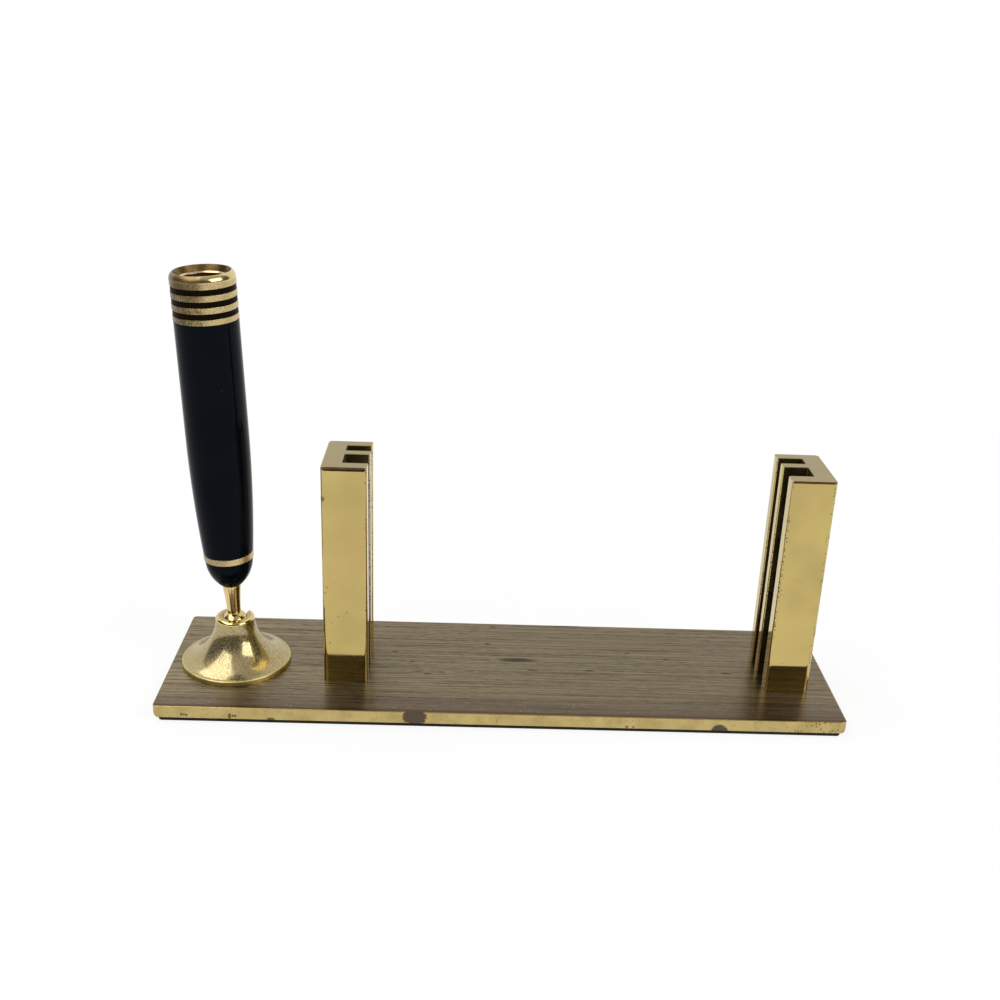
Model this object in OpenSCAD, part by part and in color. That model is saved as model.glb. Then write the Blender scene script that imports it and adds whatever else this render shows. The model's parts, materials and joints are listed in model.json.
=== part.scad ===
// Desk stand for business cards and a pen: a brass plate on felt carries two slotted posts
// and a trumpet foot, whose ball joint lets the pen holder lean and turn.
// X runs along the plate, Y away from the viewer, Z up. The origin is on the desk, under the plate's middle.

/* [Base] */
// Length of the plate
base_length = 140; // [120:1:180]
// Width of the plate, front to back
base_width = 38.8; // [30:0.2:60]
// Thickness of the brass plate
plate_thickness = 2.6; // [2:0.1:5]
// Corner radius of the plate, seen from above
plate_corner = 0.9; // [0.5:0.1:5]
// Thickness of the felt pad
pad_thickness = 0.9; // [0.5:0.1:2]
// How far the pad's edge lies inside the plate's edge
pad_inset = 0.4; // [0.2:0.1:2]

/* [Card posts] */
// Room for the cards, from slot floor to slot floor
card_span = 93.6; // [90:0.2:100]
// Distance from the plate's right end to the right post
post_inset = 5.4; // [3:0.1:12]
// Height of the posts above the plate
post_height = 47.5; // [30:0.5:70]
// Thickness of the post's outer wall, behind the slots
web_thickness = 4.05; // [3:0.05:6]
// Depth of the slots
slot_depth = 5.1; // [3:0.1:8]
// Thickness of the front wall
front_wall = 3.3; // [2:0.1:5]
// Width of the front slot, for a stack of cards
front_slot = 5; // [4.5:0.1:8]
// Thickness of the wall between the slots
middle_wall = 2.2; // [1.5:0.1:4]
// Width of the rear slot
rear_slot = 3; // [2:0.1:5]
// Thickness of the rear wall
rear_wall = 2.6; // [1.5:0.1:4]
// Corner radius on the outer side of a post
post_round = 0.9; // [0.4:0.1:1.4]
// Corner radius on the slotted side of a post
post_tip_round = 0.3; // [0.1:0.1:0.8]

/* [Trumpet foot] */
// Distance from the plate's left end to the foot's middle
bell_inset = 13.4; // [12.5:0.1:20]
// Radius of the flange
flange_radius = 11.4; // [10:0.1:12]
// Height of the flange's rim
rim_height = 1.1; // [0.8:0.1:2]
// Rounding of the flange's upper edge
rim_round = 0.3; // [0.1:0.05:0.5]
// Height of the foot above the plate
bell_height = 10.75; // [9.5:0.05:16]
// Radius of the hollow flare between flange and lip
flare_radius = 10; // [9:0.5:20]
// Wall of the neck beside the ball
neck_wall = 1; // [0.8:0.05:2]
// Rounding of the lip
lip_round = 0.7; // [0.4:0.05:0.85]
// Heading of the notch in the lip
notch_heading = 66; // [0:1:359]
// How far from upright the notch lets the holder lie
notch_lean = 60; // [45:1:70]

/* [Ball joint] */
// Radius of the ball
ball_radius = 3; // [2.6:0.05:3.4]
// Angle from upright at which the lip's edge holds the ball
lip_hold = 52.6; // [48:0.2:56]
// Radius of the stem where it leaves the ball
stem_radius = 1.2; // [1:0.05:1.4]
// Radius of the stem at the shoulder under the nose
shoulder_radius = 1.9; // [1.6:0.05:2.2]
// Distance from the ball's centre to the shoulder
stem_length = 9.3; // [7:0.1:14]
// How far the cup's rim lies below the ball's centre
cup_drop = 0.8; // [0.4:0.1:1.6]
// Thickness of the cup under the ball
cup_floor = 0.75; // [0.5:0.05:1.2]
// Height of the pair of cone washers
spring_height = 1.4; // [1:0.1:1.8]
// Thickness of one cone washer
spring_sheet = 0.4; // [0.2:0.05:0.5]
// Radius of the hole in a cone washer
spring_hole = 1.4; // [1:0.05:2]
// How much wider than the ball's bore the plug is, all round
plug_land = 1.95; // [1:0.05:2.2]

/* [Pen holder] */
// How far the holder leans from upright
lean = 2.36; // [0:0.02:20]
// Heading of the lean, from +X towards +Y
lean_heading = 211.8; // [180:0.1:300]
// Radius of the bore that takes the pen
pen_radius = 4.4; // [3.6:0.05:5.2]
// Wall of the liner
liner_wall = 0.4; // [0.3:0.05:0.8]
// Width of the lead-in at the liner's upper end
liner_lead = 0.35; // [0.1:0.05:0.35]
// Wall of the barrel round the liner
barrel_wall = 1.36; // [1:0.01:2.5]
// Height of the nose
nose_height = 6.25; // [5.8:0.05:12]
// How far the waist ring stands proud of the nose
nose_step = 0.2; // [0:0.05:0.6]
// Height of the waist ring
ring_height = 1.35; // [0.8:0.05:3]
// Length of the barrel
barrel_length = 49; // [40:0.2:70]
// Length over which the barrel tapers
taper_length = 25.8; // [12:0.2:34]
// How much the barrel's radius shrinks over the taper
taper_in = 1.12; // [0.4:0.02:1.4]
// Height above the waist ring at which the liner stands
liner_seat = 7.15; // [6.5:0.05:12]
// Radius of the nose's spigot inside the barrel
spigot_radius = 3.55; // [3.4:0.05:3.8]
// Length of the spigot above the nose
spigot_length = 6; // [3:0.1:6.3]
// Rim of the nose outside the stem's shoulder
nose_land = 0.2; // [0.1:0.05:0.6]
// Thickness of the nose under the washer
nose_floor = 2.95; // [2:0.05:3.4]

/* [Mouth] */
// Height of the brass collar
collar_height = 9.2; // [8:0.05:14]
// How far the collar stands proud of the barrel
collar_proud = 0.03; // [0:0.01:0.3]
// Height of the first groove above the collar's foot
groove_start = 1.1; // [0.6:0.01:1.4]
// Width of a groove
groove_width = 1.1; // [0.6:0.05:1.5]
// Distance from groove to groove
groove_pitch = 2.28; // [1.8:0.02:2.4]
// Depth of a groove
groove_depth = 0.3; // [0.15:0.05:0.6]
// How far the enamel lies below the brass
enamel_drop = 0.08; // [0:0.02:0.1]
// Radius of the collar's domed upper end
mouth_dome = 1.6; // [1:0.1:2.2]
// Angle through which the dome turns inwards
dome_turn = 50; // [30:1:60]
// Rounding of the mouth's crest
mouth_round = 0.3; // [0.2:0.05:0.5]
// Depth of the countersink in the mouth
mouth_sink = 1.1; // [0.6:0.05:1.5]

/* [Fasteners] */
// Thread radius of the foot's screw
bell_thread = 1.45; // [1:0.05:1.8]
// Head radius of the foot's screw
bell_head = 2.75; // [2.2:0.05:3.2]
// Thread radius of the posts' screws
post_thread = 1; // [0.8:0.05:1.2]
// Head radius of the posts' screws
post_head = 1.9; // [1.5:0.05:2.3]
// Length of a post screw's thread inside the post
post_grip = 6; // [3:0.5:12]
// Distance between the two screws of a post
post_screw_gap = 9.2; // [6:0.2:10]
// Width of a screw's slot
driver_slot = 0.5; // [0.4:0.05:0.6]
// Depth of a screw's slot
driver_depth = 0.5; // [0.3:0.05:0.6]
// Thread radius of the stud's upper end
stud_thread = 1.2; // [0.9:0.05:1.4]
// Radius of the washer on the stud
washer_radius = 2.5; // [2.1:0.05:2.55]
// Thickness of the washer on the stud
washer_sheet = 0.4; // [0.3:0.05:0.6]
// Radius over the corners of the nut on the stud
nut_radius = 2.5; // [2.1:0.05:2.55]
// Height of the nut on the stud
nut_height = 2; // [1.4:0.1:2.6]
// How far the stud's end stands above the nut
stud_end = 0.6; // [0.2:0.1:1.5]

/* [Clearances] */
// Running clearance round the ball and on the stud
run_gap = 0.05; // [0.02:0.01:0.1]
// Clearance between pieces that are screwed, pushed or stuck together
fit_gap = 0.03; // [0.01:0.01:0.06]
// Clearance round a screw in the plate
screw_gap = 0.15; // [0.1:0.05:0.3]

/* [Hidden] */
$fn = 96;

arc_steps = 16;
groove_count = 3;
cut = 1;

plate_top = pad_thickness + plate_thickness;
post_width = web_thickness + slot_depth;
post_depth = front_wall + front_slot + middle_wall + rear_slot + rear_wall;
post_front = -post_depth / 2;
right_post_x = base_length / 2 - post_inset;
left_post_x = right_post_x - 2 * web_thickness - card_span;

bell_x = -base_length / 2 + bell_inset;
socket_radius = ball_radius + run_gap;
neck_radius = socket_radius + neck_wall;
ball_z = plate_top + bell_height - socket_radius * cos(lip_hold);
cup_top = ball_z - cup_drop;
cup_foot = ball_z - socket_radius - cup_floor;
plug_top = cup_foot - spring_height;
plug_radius = socket_radius + plug_land;

liner_radius = pen_radius + liner_wall;
bore_radius = liner_radius + fit_gap;
barrel_radius = bore_radius + barrel_wall;
waist_radius = barrel_radius - taper_in;
nose_foot = stem_length + run_gap;
nose_top = nose_foot + nose_height;
barrel_foot = nose_top + ring_height;
barrel_top = barrel_foot + barrel_length;
mouth_top = barrel_top + collar_height;
liner_foot = barrel_foot + liner_seat;
liner_top = mouth_top - mouth_sink;
collar_radius = barrel_radius + collar_proud;
washer_foot = nose_foot + nose_floor;
nut_foot = washer_foot + washer_sheet;
stud_top = nut_foot + nut_height + stud_end;
pocket_radius = max(washer_radius, nut_radius) + 2 * run_gap;

// Points on an arc about [x, z], from angle a to angle b
function arc(x, z, r, a, b) =
    [for (i = [0:arc_steps]) let (t = a + (b - a) * i / arc_steps) [x + r * cos(t), z + r * sin(t)]];

// Points on a hollow arc of radius r from p up to q, bulging towards the axis
function flare(p, q, r) =
    let (
        d = q - p,
        span = norm(d),
        centre = (p + q) / 2 + sqrt(r * r - span * span / 4) / span * [d[1], -d[0]],
        start = atan2(p[1] - centre[1], p[0] - centre[0])
    )
    arc(centre[0], centre[1], r, start, start - 2 * asin(span / 2 / r));

// Points up an arc that ends upright at radius r_top, coming from r_foot at its lower end
function taper(r_foot, r_top, z_foot, z_top) =
    let (
        height = z_top - z_foot,
        change = r_top - r_foot,
        r = (height * height + change * change) / (2 * change)
    )
    arc(r_top - r, z_top, r, -asin(height / r), 0);

// Outline from above of a plate with round corners
module rounded_plate(length, width, corner) {
    square([length - 2 * corner, width], center = true);
    square([length, width - 2 * corner], center = true);
    for (x = [-1, 1], y = [-1, 1])
        translate([x * (length / 2 - corner), y * (width / 2 - corner)])
            circle(corner);
}

// Countersunk screw standing on its head at the origin, with its thread upwards
module countersunk_screw(thread, head, length) {
    difference() {
        union() {
            cylinder(r1 = head, r2 = thread, h = head - thread);
            cylinder(r = thread, h = length);
        }
        translate([-head - cut, -driver_slot / 2, -cut])
            cube([2 * head + 2 * cut, driver_slot, cut + driver_depth]);
    }
}

// Room for such a screw, open towards its head
module countersunk_hole(thread, head, gap, length) {
    cylinder(r1 = head + gap, r2 = thread + gap, h = head - thread);
    cylinder(r = thread + gap, h = length);
    translate([0, 0, -cut])
        cylinder(r = head + gap, h = cut);
}

// Middle of each post's wall, where its screws go
module at_post_screws() {
    for (x = [left_post_x + web_thickness / 2, right_post_x - web_thickness / 2], y = [-1, 1])
        translate([x, y * post_screw_gap / 2, pad_thickness])
            children();
}

module at_bell() {
    translate([bell_x, 0, 0])
        children();
}

// Frame of the leaning holder: the ball's centre, with Z along the holder
module at_holder() {
    translate([bell_x, 0, ball_z])
        rotate([0, lean, lean_heading])
            children();
}

// Post at the origin, its slotted side towards +X and its front edge at the front of the slots
module post() {
    difference() {
        linear_extrude(post_height)
            difference() {
                post_outline();
                translate([web_thickness, front_wall])
                    square([slot_depth + cut, front_slot]);
                translate([web_thickness, front_wall + front_slot + middle_wall])
                    square([slot_depth + cut, rear_slot]);
            }
        for (y = [-1, 1])
            translate([web_thickness / 2, post_depth / 2 + y * post_screw_gap / 2, -cut])
                cylinder(r = post_thread + fit_gap, h = cut + post_grip + fit_gap);
    }
}

// The post's outside from above: larger corners on the outer wall than at the slots' mouths
module post_outline() {
    translate([post_round, 0])
        square([post_width - post_round - post_tip_round, post_depth]);
    translate([0, post_round])
        square([post_round + cut, post_depth - 2 * post_round]);
    translate([post_width - post_tip_round - cut, post_tip_round])
        square([post_tip_round + cut, post_depth - 2 * post_tip_round]);
    for (y = [post_round, post_depth - post_round])
        translate([post_round, y])
            circle(post_round);
    for (y = [post_tip_round, post_depth - post_tip_round])
        translate([post_width - post_tip_round, y])
            circle(post_tip_round);
}

module base_plate() {
    color("darkkhaki")
        difference() {
            translate([0, 0, pad_thickness])
                linear_extrude(plate_thickness)
                    rounded_plate(base_length, base_width, plate_corner);
            at_post_screws()
                countersunk_hole(post_thread, post_head, screw_gap, plate_thickness + cut);
            at_bell()
                translate([0, 0, pad_thickness])
                    countersunk_hole(bell_thread, bell_head, screw_gap, plate_thickness + cut);
        }
}

module base_pad() {
    color("black")
        linear_extrude(pad_thickness)
            rounded_plate(base_length - 2 * pad_inset, base_width - 2 * pad_inset, plate_corner);
}

module left_upright() {
    color("gold")
        translate([left_post_x, post_front, plate_top])
            post();
}

module right_upright() {
    color("gold")
        translate([right_post_x, post_front, plate_top])
            mirror([1, 0, 0])
                post();
}

module upright_screws() {
    color("silver")
        at_post_screws()
            countersunk_screw(post_thread, post_head, plate_thickness + post_grip);
}

// The slot that the stem lies in when the holder is laid right over
module lip_notch() {
    reach = 2 * neck_radius;
    stem_at_lip = (neck_radius - lip_round) / sin(notch_lean) / stem_length;
    width = stem_radius + (shoulder_radius - stem_radius) * stem_at_lip + run_gap;
    rotate([0, notch_lean, notch_heading]) {
        cylinder(r = width, h = reach);
        translate([-reach, -width, 0])
            cube([reach, 2 * width, reach]);
    }
}

module swivel_bell() {
    rim = [flange_radius - rim_round, rim_height];
    neck = [neck_radius, bell_height - lip_round];
    outline = concat(
        [[0, 0], [flange_radius, 0]],
        arc(rim[0], rim[1] - rim_round, rim_round, 0, 90),
        flare(rim - [rim_round, 0], neck, flare_radius),
        arc(neck_radius - lip_round, neck[1], lip_round, 0, 90),
        [[0, bell_height]]
    );
    color("khaki")
        at_bell()
            difference() {
                translate([0, 0, plate_top])
                    rotate_extrude()
                        polygon(outline);
                translate([0, 0, ball_z]) {
                    sphere(socket_radius);
                    lip_notch();
                }
                translate([0, 0, plate_top])
                    cylinder(r = socket_radius, h = ball_z - plate_top);
                translate([0, 0, plate_top - cut])
                    cylinder(r = plug_radius + fit_gap, h = plug_top - plate_top + cut);
            }
}

module bell_plug() {
    color("tan")
        at_bell()
            translate([0, 0, plate_top])
                difference() {
                    cylinder(r = plug_radius, h = plug_top - plate_top);
                    translate([0, 0, -cut])
                        cylinder(r = bell_thread + fit_gap, h = plug_top - plate_top + 2 * cut);
                }
}

module bell_screw() {
    color("silver")
        at_bell()
            translate([0, 0, pad_thickness])
                countersunk_screw(bell_thread, bell_head, plug_top - pad_thickness - driver_depth);
}

// Two cone washers, rim to rim, between the plug and the cup
module spring_washers() {
    rim = socket_radius - 2 * run_gap;
    half = spring_height / 2 - fit_gap;
    section = [[spring_hole, 0], [rim, half - spring_sheet], [rim, half], [spring_hole, spring_sheet]];
    color("slategray")
        at_bell()
            translate([0, 0, plug_top + spring_height / 2])
                for (side = [0, 1])
                    mirror([0, 0, side])
                        translate([0, 0, -spring_height / 2 + fit_gap / 2])
                            rotate_extrude()
                                polygon(section);
}

module pressure_cup() {
    color("gray")
        at_bell()
            difference() {
                translate([0, 0, cup_foot])
                    cylinder(r = socket_radius - run_gap, h = cup_top - cup_foot);
                translate([0, 0, ball_z])
                    sphere(socket_radius);
            }
}

module ball_stud() {
    color("goldenrod")
        at_holder() {
            sphere(ball_radius);
            cylinder(r1 = stem_radius, r2 = shoulder_radius, h = stem_length);
            translate([0, 0, stem_length - cut])
                cylinder(r = stud_thread, h = stud_top - stem_length + cut);
        }
}

module holder_tip() {
    outline = concat(
        [[0, nose_foot]],
        taper(shoulder_radius + nose_land, waist_radius - nose_step, nose_foot, nose_top),
        [[spigot_radius, nose_top], [spigot_radius, nose_top + spigot_length], [0, nose_top + spigot_length]]
    );
    color("black")
        at_holder()
            difference() {
                rotate_extrude()
                    polygon(outline);
                translate([0, 0, nose_foot - cut])
                    cylinder(r = stud_thread + run_gap, h = nose_floor + 2 * cut);
                translate([0, 0, washer_foot])
                    cylinder(r = pocket_radius, h = nose_top + spigot_length - washer_foot + cut);
            }
}

module stud_washer() {
    color("silver")
        at_holder()
            translate([0, 0, washer_foot])
                difference() {
                    cylinder(r = washer_radius, h = washer_sheet);
                    translate([0, 0, -cut])
                        cylinder(r = stud_thread + run_gap, h = washer_sheet + 2 * cut);
                }
}

module stud_nut() {
    color("silver")
        at_holder()
            translate([0, 0, nut_foot])
                difference() {
                    cylinder(r = nut_radius, h = nut_height, $fn = 6);
                    translate([0, 0, -cut])
                        cylinder(r = stud_thread + run_gap, h = nut_height + 2 * cut);
                }
}

module waist_ring() {
    color("gold")
        at_holder()
            translate([0, 0, nose_top])
                difference() {
                    cylinder(r = waist_radius, h = ring_height);
                    translate([0, 0, -cut])
                        cylinder(r = spigot_radius + fit_gap, h = ring_height + 2 * cut);
                }
}

module barrel() {
    outline = concat(
        [[0, barrel_foot]],
        taper(waist_radius, barrel_radius, barrel_foot, barrel_foot + taper_length),
        [[barrel_radius, barrel_top], [0, barrel_top]]
    );
    color("black")
        at_holder()
            difference() {
                rotate_extrude()
                    polygon(outline);
                translate([0, 0, barrel_foot - cut])
                    cylinder(r = spigot_radius + fit_gap, h = barrel_length);
                translate([0, 0, liner_foot])
                    cylinder(r = bore_radius, h = barrel_length);
            }
}

module pen_liner() {
    color("peru")
        at_holder()
            translate([0, 0, liner_foot])
                difference() {
                    cylinder(r = liner_radius, h = liner_top - liner_foot);
                    translate([0, 0, -cut])
                        cylinder(r = pen_radius, h = liner_top - liner_foot + 2 * cut);
                    translate([0, 0, liner_top - liner_foot - liner_lead])
                        cylinder(r1 = pen_radius, r2 = pen_radius + 2 * liner_lead, h = 2 * liner_lead);
                }
}

// The collar stands on the barrel, round the liner's upper end
module mouth_collar() {
    dome_x = collar_radius - mouth_dome;
    crest_z = mouth_top - mouth_round;
    crest = (mouth_dome - mouth_round) * [cos(dome_turn), sin(dome_turn)];
    outline = concat(
        [[bore_radius, barrel_top], [collar_radius, barrel_top]],
        arc(dome_x, crest_z - crest[1], mouth_dome, 0, dome_turn),
        arc(dome_x + crest[0], crest_z, mouth_round, dome_turn, 90),
        [[bore_radius, liner_top]]
    );
    color("gold")
        at_holder()
            difference() {
                rotate_extrude()
                    polygon(outline);
                for (i = [0:groove_count - 1])
                    translate([0, 0, barrel_top + groove_start + i * groove_pitch])
                        difference() {
                            cylinder(r = collar_radius + cut, h = groove_width);
                            cylinder(r = collar_radius - groove_depth, h = groove_width);
                        }
            }
}

module groove_enamel() {
    color("black")
        at_holder()
            for (i = [0:groove_count - 1])
                translate([0, 0, barrel_top + groove_start + i * groove_pitch + fit_gap])
                    difference() {
                        cylinder(r = collar_radius - enamel_drop, h = groove_width - 2 * fit_gap);
                        translate([0, 0, -cut])
                            cylinder(r = collar_radius - groove_depth + fit_gap, h = groove_width + 2 * cut);
                    }
}

base_plate();
base_pad();
left_upright();
right_upright();
upright_screws();
swivel_bell();
bell_plug();
bell_screw();
spring_washers();
pressure_cup();
ball_stud();
holder_tip();
stud_washer();
stud_nut();
waist_ring();
barrel();
pen_liner();
mouth_collar();
groove_enamel();
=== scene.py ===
# Desk stand for business cards and a pen: polished and brushed brass with a gloss black pen holder.
import json
import math

import bmesh
import bpy
import numpy as np
from mathutils import Matrix, Vector


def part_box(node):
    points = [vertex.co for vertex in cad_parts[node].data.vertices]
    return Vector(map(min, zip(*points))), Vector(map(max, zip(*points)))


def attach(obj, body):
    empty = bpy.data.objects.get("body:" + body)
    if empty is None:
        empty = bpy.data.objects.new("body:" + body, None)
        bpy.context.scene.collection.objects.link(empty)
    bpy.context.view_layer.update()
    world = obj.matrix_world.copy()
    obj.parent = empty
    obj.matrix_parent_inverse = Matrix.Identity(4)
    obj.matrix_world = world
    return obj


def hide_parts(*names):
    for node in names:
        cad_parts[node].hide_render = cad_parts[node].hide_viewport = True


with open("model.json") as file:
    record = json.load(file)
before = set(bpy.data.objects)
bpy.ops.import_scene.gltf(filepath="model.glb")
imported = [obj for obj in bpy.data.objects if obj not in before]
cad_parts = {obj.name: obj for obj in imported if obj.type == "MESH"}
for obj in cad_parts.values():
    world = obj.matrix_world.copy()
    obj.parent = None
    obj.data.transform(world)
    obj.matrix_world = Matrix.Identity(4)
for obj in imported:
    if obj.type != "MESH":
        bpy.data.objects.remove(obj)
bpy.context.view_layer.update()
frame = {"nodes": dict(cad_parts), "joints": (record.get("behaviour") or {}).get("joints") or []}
mm = 0.001

# Base plate
# A brass plate, brushed lengthwise on top and antiqued brown, with its sawn edges polished bright.
# The posts and the trumpet foot stand on it and are screwed to it from below.
plate_low, plate_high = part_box("base_plate")
plate_corner, plate_edge_round, plate_end_round = 0.9 * mm, 0.12 * mm, 0.8 * mm
merge_distance = 0.0001 * mm


def rounded(corners, radii, turns=6, shoulder=0.3 * mm):
    """Path through the corners, with an arc of its own radius in place of each.
    With n0 and n1 the normals of the edges that meet, an arc's middle is the corner moved by
    side * radius * (n0 + n1) / (1 + n0.n1) to the inside, where side is 1 at an outer corner and -1 at
    an inner one. Its points are middle + side * radius * n, with n turning from n0 to n1. A point on
    each straight follows at shoulder's distance. A corner of radius 0 stays one point.
    Gives the points, their normals, and a mark that is 1 on the arcs and 0 elsewhere."""
    corners = np.array(corners, float)
    radii = np.broadcast_to(np.array(radii, float), len(corners))
    ahead = np.roll(corners, -1, 0) - corners
    ahead /= np.linalg.norm(ahead, axis=1)[:, None]
    behind = np.roll(ahead, 1, 0)
    normal_in = np.stack([behind[:, 1], -behind[:, 0]], 1)
    normal_out = np.stack([ahead[:, 1], -ahead[:, 0]], 1)
    cross = normal_in[:, 0] * normal_out[:, 1] - normal_in[:, 1] * normal_out[:, 0]
    dot = (normal_in * normal_out).sum(1)
    reach = (np.sign(cross) * radii)[:, None]
    start = np.arctan2(normal_in[:, 1], normal_in[:, 0])[:, None]
    angle = start + np.arctan2(cross, dot)[:, None] * np.linspace(0, 1, turns + 1)
    normals = np.stack([np.cos(angle), np.sin(angle)], -1)
    middle = corners - reach * (normal_in + normal_out) / (1 + dot)[:, None]
    arcs = middle[:, None] + reach[:, None] * normals
    step = np.where(radii > 0, shoulder, 0)[:, None, None]
    before, after = arcs[:, :1] - step * behind[:, None], arcs[:, -1:] + step * ahead[:, None]
    points = np.concatenate([before, arcs, after], 1)
    normals = np.concatenate([normals[:, :1], normals, normals[:, -1:]], 1)
    mark = np.repeat((radii > 0)[:, None], turns + 3, 1).astype(float)
    mark[:, [0, -1]] = 0
    points, normals, mark = points.reshape(-1, 2), normals.reshape(-1, 2), mark.reshape(-1)
    apart = np.linalg.norm(points - np.roll(points, 1, 0), axis=1) > merge_distance
    return points[apart], normals[apart], mark[apart]


def raised(outline, low, high, foot_round, top_round, turns=5, shoulder=0.25 * mm):
    """Outline carried up from low to high, with quarter rounds at its foot and top edges.
    At angle a on a round the outline lies in by round * (1 - cos a), at round * (1 - sin a) from the end.
    A row on each wall and each flat lies shoulder away from the round.
    Gives the grid of points and the mark of the rounds and corner arcs on it."""
    points, normals, corner_mark = outline
    angle = np.linspace(0, math.pi / 2, turns + 1)[:, None]
    top_round = np.broadcast_to(top_round, len(points))
    foot_round = np.broadcast_to(foot_round, len(points))
    top_in = top_round * (1 - np.cos(angle))
    top_z = high - top_round * (1 - np.sin(angle))
    foot_in = foot_round * (1 - np.cos(angle[::-1]))
    foot_z = low + foot_round * (1 - np.sin(angle[::-1]))
    wall = np.zeros((2, len(points)))
    wall_z = np.stack([foot_z[-1] + shoulder, top_z[0] - shoulder])
    inset = np.concatenate([foot_in[:1] + shoulder, foot_in, wall, top_in, top_in[-1:] + shoulder])
    height = np.concatenate([foot_z[:1], foot_z, wall_z, top_z, top_z[-1:]])
    round_mark = np.zeros(len(inset))
    round_mark[1:turns + 2] = 1
    round_mark[-turns - 2:-1] = 1
    mark = np.maximum(round_mark[:, None], corner_mark)
    mark[[0, -1]] = 0
    flat = points - inset[..., None] * normals
    return np.concatenate([flat, height[..., None]], -1), mark


def put(name, data):
    """New object with that data, in the scene."""
    thing = bpy.data.objects.new(name, data)
    bpy.context.scene.collection.objects.link(thing)
    return thing


def cell_corners(sheet):
    """Four corners of each cell of a grid, in the order of a face."""
    return np.stack([sheet[:-1, :-1], sheet[:-1, 1:], sheet[1:, 1:], sheet[1:, :-1]], 2)


def skin(name, grid, finishes, strip_finish=0, top_finish=0, mark=None, ring=False, crease=None):
    """Mesh of four-sided faces over a grid whose columns close on themselves.
    A flat face closes the first row and the last, or with ring the rows close on themselves too.
    Normals are the cross product of the steps to the neighbours along and across the grid. With crease
    points that coincide are merged, and the mesh's own normals part where faces meet at a larger angle."""
    rows, columns = grid.shape[:2]
    across = np.roll(grid, -1, 1) - np.roll(grid, 1, 1)
    along = np.roll(grid, -1, 0) - np.roll(grid, 1, 0)
    if not ring:
        along[0] = grid[1] - grid[0]
        along[-1] = grid[-1] - grid[-2]
    normals = np.cross(across, along)
    normals /= np.linalg.norm(normals, axis=2, keepdims=True)

    index = np.arange(rows * columns).reshape(rows, columns)
    index = np.pad(index, ((0, int(ring)), (0, 1)), "wrap")
    faces = cell_corners(index).reshape(-1, 4).tolist()
    step = np.linalg.norm(np.diff(grid[:, 0], axis=0, append=grid[:1, 0]), axis=1)
    height = np.concatenate([[0], np.cumsum(step)])[:len(index), None]
    turn = np.arange(columns + 1) / columns
    uv = cell_corners(np.stack(np.broadcast_arrays(turn, height), -1)).reshape(-1, 2)
    finish = np.broadcast_to(strip_finish, (len(index) - 1, columns)).reshape(-1)
    if not ring:
        foot, top = index[0, -2::-1], index[-1, :-1]
        faces += [foot.tolist(), top.tolist()]
        flat = grid.reshape(-1, 3)[:, :2]
        uv = np.concatenate([uv, flat[foot], flat[top]])
        finish = np.append(finish, [0, top_finish])

    mesh = bpy.data.meshes.new(name)
    mesh.from_pydata(grid.reshape(-1, 3).tolist(), [], faces)
    for material in finishes:
        mesh.materials.append(material)
    mesh.polygons.foreach_set("material_index", finish.astype(np.int32))
    mesh.polygons.foreach_set("use_smooth", np.ones(len(faces), bool))
    mesh.uv_layers.new(name="surface").data.foreach_set("uv", uv.ravel())
    if mark is not None:
        mesh.attributes.new("edge", "FLOAT", "POINT").data.foreach_set("value", mark.ravel())
    if crease is None:
        mesh.normals_split_custom_set_from_vertices(normals.reshape(-1, 3).tolist())
    else:
        merged = bmesh.new()
        merged.from_mesh(mesh)
        bmesh.ops.remove_doubles(merged, verts=merged.verts, dist=merge_distance)
        merged.to_mesh(mesh)
        merged.free()
        mesh.set_sharp_from_angle(angle=crease)
    return put(name, mesh)


def place(tree, kind, sockets=None, **settings):
    """Adds a node with its settings, and sets or links its sockets."""
    added = tree.nodes.new(kind)
    for name, value in settings.items():
        setattr(added, name, value)
    for key, value in (sockets or {}).items():
        if isinstance(value, bpy.types.NodeSocket):
            tree.links.new(value, added.inputs[key])
        else:
            added.inputs[key].default_value = value
    return added


def node(kind, sockets, **settings):
    """Adds a node to the tree that the sockets linked to it are in."""
    tree = next(value.id_data for value in sockets.values() if isinstance(value, bpy.types.NodeSocket))
    return place(tree, kind, sockets, **settings)


def ramp(value, low, high, bottom=0.0, top=1.0):
    """Smooth step of a value, from bottom at low to top at high."""
    sockets = {"Value": value, "From Min": low, "From Max": high, "To Min": bottom, "To Max": top}
    return node("ShaderNodeMapRange", sockets, interpolation_type="SMOOTHSTEP").outputs[0]


def sums(kind, a, b):
    """One step of arithmetic on two values."""
    return node("ShaderNodeMath", {0: a, 1: b}, operation=kind).outputs[0]


def times(a, b):
    """Product of two values."""
    return sums("MULTIPLY", a, b)


def vectors(kind, a, b=(0, 0, 0)):
    """One step of arithmetic on vectors, which for LENGTH and DOT_PRODUCT gives a value."""
    result = "Value" if kind in ("LENGTH", "DOT_PRODUCT") else "Vector"
    return node("ShaderNodeVectorMath", {0: a, 1: b}, operation=kind).outputs[result]


def coordinate(point, axis):
    """One coordinate of a place."""
    return node("ShaderNodeSeparateXYZ", {0: point}).outputs[axis]


def blended(share, under, over):
    """Colour over laid on colour under, by its share."""
    under = under if isinstance(under, bpy.types.NodeSocket) else (*under, 1)
    over = over if isinstance(over, bpy.types.NodeSocket) else (*over, 1)
    return node("ShaderNodeMix", {0: share, 6: under, 7: over}, data_type="RGBA").outputs[2]


def noise(vector, scale, detail=3.0, roughness=0.55):
    """Cloudy value from 0 to 1 at a scale per metre."""
    sockets = {"Vector": vector, "Scale": scale, "Detail": detail, "Roughness": roughness}
    return node("ShaderNodeTexNoise", sockets).outputs[0]


def bumped(height, depth):
    """Normal of a surface raised by a height from 0 to 1 times depth in metres."""
    return node("ShaderNodeBump", {"Height": height, "Distance": depth, "Strength": 1.0}).outputs[0]


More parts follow.
